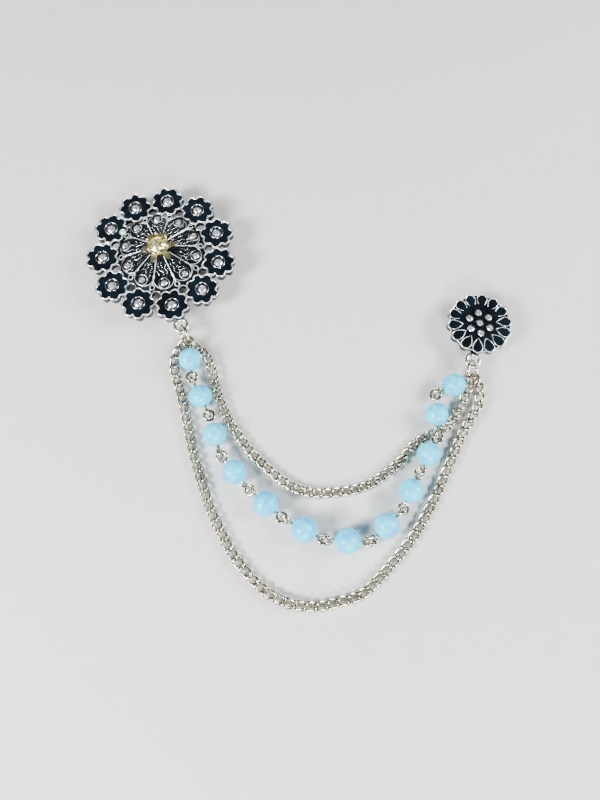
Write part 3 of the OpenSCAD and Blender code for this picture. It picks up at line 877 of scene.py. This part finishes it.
@dataclass
class SmallLines:
    """Outlines of the teardrop petals and the rim of the small brooch, in silver painted bright as a
    highlight.
    """

    dresser: Dresser
    petals: int = 14
    petal_turn: float = math.radians(-73.7)
    ring_r: float = 6.55 * MM
    end_r: float = 1.24 * MM
    end_bow_deg: int = 110
    end_step_deg: int = 20
    base_r: float = 4.1 * MM
    base_half_w: float = 0.86 * MM
    thick: float = 0.22 * MM
    top_z: float = 4.21 * MM
    rim_thick: float = 0.36 * MM
    rim_inset: float = 0.17 * MM
    rim_steps: int = 196
    hoop_every: int = 4
    lobe_ring_r: float = 6.85 * MM
    lobe_r: float = 1.25 * MM
    core_r: float = 7.7 * MM
    middle_r: float = 3.9 * MM
    flood_from: float = 0.35
    flood_r: float = 5.1 * MM
    flood_depth: float = 0.3 * MM
    glaze_share: float = 0.985
    glaze_z: float = 4.225 * MM
    glaze_thick: float = 0.012 * MM

    def build(self) -> list[bpy.types.Object]:
        """Draws the petals' outlines, their points sunk in the upper half, and the scalloped rim.

        Returns:
            All lines as one piece, and the enamel drawn up to them.
        """
        mid = middle("small_stone_1")
        base = Vector((mid.x, mid.y, self.top_z))
        waist_r = (self.ring_r + self.base_r) / 2
        bows = range(-self.end_bow_deg, self.end_bow_deg + 1, self.end_step_deg)
        petal = [(self.ring_r + self.end_r * math.cos(math.radians(bow)),
                  self.end_r * math.sin(math.radians(bow))) for bow in bows]
        petal += [(waist_r, self.base_half_w), (self.base_r, 0.0), (waist_r, -self.base_half_w)]
        wires = []
        for number in range(self.petals):
            turn = self.petal_turn + number * math.tau / self.petals
            sink = self.flood_depth if math.sin(turn) > self.flood_from else 0.0
            wires.append(wire([Vector((mid.x + x * math.cos(turn) - y * math.sin(turn),
                                       mid.y + x * math.sin(turn) + y * math.cos(turn),
                                       self.top_z - (sink if x < self.flood_r else 0.0)))
                               for x, y in petal], self.thick, True))
        rim, hoop = [], []
        for turn in full_turn(self.rim_steps):
            reach = scallop_reach(turn, self.petals, self.lobe_ring_r, self.lobe_r,
                                  self.core_r) - self.rim_inset
            way = Vector((math.cos(self.petal_turn + turn), math.sin(self.petal_turn + turn), 0.0))
            rim.append(base + way * reach)
            hoop.append(base + way * self.middle_r)
        wires.append(wire(rim, self.rim_thick, True))
        edge = [base + (point - base) * self.glaze_share for point in rim]
        edge[0].z = self.glaze_z
        skin = join([glaze(edge, hoop[::self.hoop_every], self.glaze_thick)], "small_skin")
        self.dresser.dress(skin, Slot.DARK_ENAMEL)
        lines = join(wires, "small_lines")
        self.dresser.coat(lines, self.dresser.rim_silver_painted_highlight, Slot.CAST_SILVER)
        return [lines, skin]


@dataclass
class CadPieces:
    """CAD nodes that show as they are, each with its finish."""

    dresser: Dresser

    def build(self, replaced: Sequence[str]) -> None:
        """Dresses every node that no finer piece stands for.

        Args:
            replaced: the nodes that a finer piece stands for.
        """
        wanted = {row["node"]: row["material_slot"] for row in frame["record"]["subparts"]}
        for node, piece in frame["nodes"].items():
            if node in self.dresser.blackened:
                self.dresser.coat(piece, self.dresser.blackened[node], Slot.CAST_SILVER)
            elif node not in replaced:
                self.dresser.dress(piece, Slot(wanted[node]))


@dataclass(frozen=True)
class Lamp:
    """A soft round lamp that points at the middle of the object, in metres and watts."""

    name: str
    place: tuple[float, float, float]
    size: float
    power: float

    def hang(self) -> None:
        """Adds the lamp to the scene."""
        data = bpy.data.lights.new(self.name, "AREA")
        data.shape = "DISK"
        data.size = self.size
        data.energy = self.power
        lamp = bpy.data.objects.new(self.name, data)
        lamp.location = self.place
        lamp.rotation_euler = (-Vector(self.place)).to_track_quat("-Z", "Y").to_euler()
        bpy.context.scene.collection.objects.link(lamp)


@dataclass
class Studio:
    """Floor, soft lights and the camera."""

    photo_shift: Vector = field(default_factory=lambda: Vector((0.93, -3.73, 0.0)) * MM)
    camera_distance: float = 148 * MM
    camera_tilt: float = math.radians(16)
    lens_mm: float = 27.0
    sensor_mm: float = 36.0
    near: float = 1 * MM
    floor_size: float = 1.6
    floor_drop: float = 0.01 * MM
    sky: tuple[float, float, float] = (0.9, 0.93, 1.0)
    sky_strength: float = 0.16
    lamps: tuple[Lamp, ...] = (Lamp("key", (-0.32, -0.16, 0.26), 0.16, 5.5),
                               Lamp("fill", (0.36, 0.02, 0.24), 0.2, 3.6),
                               Lamp("back", (-0.1, 0.5, 0.09), 0.16, 1.6),
                               Lamp("front", (0.08, -0.36, 0.24), 0.12, 2.6))

    def floor(self) -> None:
        """Lays the pale floor."""
        bpy.ops.object.select_all(action="DESELECT")
        bpy.ops.mesh.primitive_plane_add(size=self.floor_size, location=(0.0, 0.0, -self.floor_drop))
        plane = bpy.context.object
        plane.name = "floor"
        bpy.ops.object.transform_apply(location=True)
        plane.data.materials.append(Board().material())

    def build(self) -> None:
        """Sets up floor, lamps, sky and camera."""
        self.floor()
        for lamp in self.lamps:
            lamp.hang()
        world = bpy.data.worlds.new("studio")
        world.use_nodes = True
        background = world.node_tree.nodes["Background"]
        background.inputs["Color"].default_value = (*self.sky, 1.0)
        background.inputs["Strength"].default_value = self.sky_strength
        bpy.context.scene.world = world
        data = bpy.data.cameras.new("camera")
        data.lens = self.lens_mm
        data.sensor_width = self.sensor_mm
        data.clip_start = self.near
        camera = bpy.data.objects.new("camera", data)
        away = Vector((0.0, -math.sin(self.camera_tilt), math.cos(self.camera_tilt)))
        camera.location = self.photo_shift + away * self.camera_distance
        camera.rotation_euler = (self.camera_tilt, 0.0, 0.0)
        bpy.context.scene.collection.objects.link(camera)
        bpy.context.scene.camera = camera


def main() -> None:
    """Builds the pieces in order and reports each one."""
    logging.basicConfig(level=logging.INFO, format="%(message)s")
    dresser = Dresser()
    chains = [Chain("outer_chain", "long_chain", dresser),
              Chain("inner_chain", "short_chain", dresser),
              Chain("pearl_pins", "strand_pins", dresser, wire_swell=0.055 * MM, rounding=0)]
    for piece in [*(chain.build() for chain in chains), *StoneRings(dresser).build(),
                  PetalVeins(dresser).build(), *FloretRims(dresser).build(),
                  PetalLines(dresser).build(), *SmallLines(dresser).build()]:
        LOG.info("%s: %d faces", piece.name, len(piece.data.polygons))
    CadPieces(dresser).build([chain.node for chain in chains])
    Studio().build()


if __name__ == "__main__":
    main()
